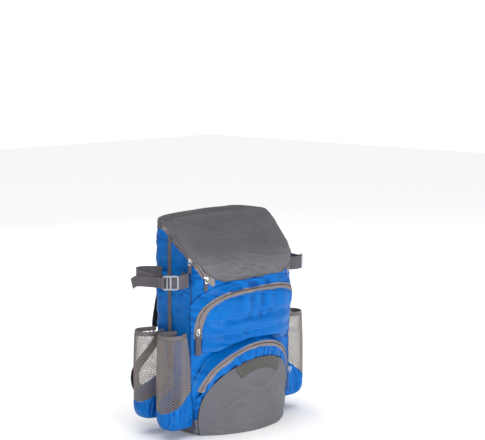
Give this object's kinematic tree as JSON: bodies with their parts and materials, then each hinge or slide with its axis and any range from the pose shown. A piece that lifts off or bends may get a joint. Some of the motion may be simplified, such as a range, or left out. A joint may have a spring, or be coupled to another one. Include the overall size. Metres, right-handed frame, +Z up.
{
  "type": "baseball bat backpack",
  "caption": "Upright baseball backpack with hooded zip lid, quilted upper pocket, arched lower pocket, net side sleeves with closing side straps, and padded shoulder straps.",
  "frame": {"origin": "on the floor under the middle of the whole bag's box", "axes": "+Z up, -Y towards the front pockets, +X towards the wearer's right-hand sleeves"},
  "size_m": [0.4906, 0.2606, 0.521],
  "materials": {
    "blueCloth": "coated woven polyester",
    "greyCloth": "woven polyester, slight sheen",
    "zipTape": "woven zip tape with coil",
    "net": "knitted net",
    "webbing": "ribbed webbing",
    "backCloth": "matt air mesh and webbing",
    "buckle": "moulded acetal",
    "metal": "plated die-cast zip slider"
  },
  "bodies": {
    "root": {"body_shell": "blueCloth", "base_panel": "greyCloth", "lid": "greyCloth", "lid_zip_tape_right": "zipTape", "lid_zip_tape_left": "zipTape", "upper_pocket_gusset": "blueCloth", "upper_pocket_zip_tape": "zipTape", "upper_pocket_face": "blueCloth", "lower_pocket_gusset": "blueCloth", "lower_pocket_zip_tape": "zipTape", "lower_pocket_band": "blueCloth", "lower_pocket_panel": "greyCloth", "lower_pocket_patch": "backCloth", "sleeve_net_front_left": "net", "sleeve_hem_front_left": "net", "sleeve_boot_front_left": "blueCloth", "sleeve_net_rear_left": "net", "sleeve_hem_rear_left": "net", "sleeve_boot_rear_left": "blueCloth", "sleeve_net_front_right": "net", "sleeve_hem_front_right": "net", "sleeve_boot_front_right": "blueCloth", "sleeve_net_rear_right": "net", "sleeve_hem_rear_right": "net", "sleeve_boot_rear_right": "blueCloth", "side_strap_left": "webbing", "side_strap_buckle_left": "buckle", "side_strap_tail_left": "webbing", "side_strap_anchor_left": "webbing", "side_webbing_left": "webbing", "side_strap_right": "webbing", "side_strap_buckle_right": "buckle", "side_strap_tail_right": "webbing", "side_strap_anchor_right": "webbing", "side_webbing_right": "webbing", "upper_pocket_slider": "metal", "upper_pocket_pull": "webbing", "lower_pocket_slider": "metal", "lower_pocket_pull": "webbing", "lid_upper_slider": "metal", "lid_upper_pull": "webbing", "lid_lower_slider": "metal", "lid_lower_pull": "webbing", "back_pad": "backCloth", "shoulder_strap_left": "backCloth", "strap_adjuster_left": "buckle", "strap_webbing_left": "backCloth", "strap_tab_left": "backCloth", "shoulder_strap_right": "backCloth", "strap_adjuster_right": "buckle", "strap_webbing_right": "backCloth", "strap_tab_right": "backCloth", "haul_loop": "backCloth"}
  },
  "joints": []
}
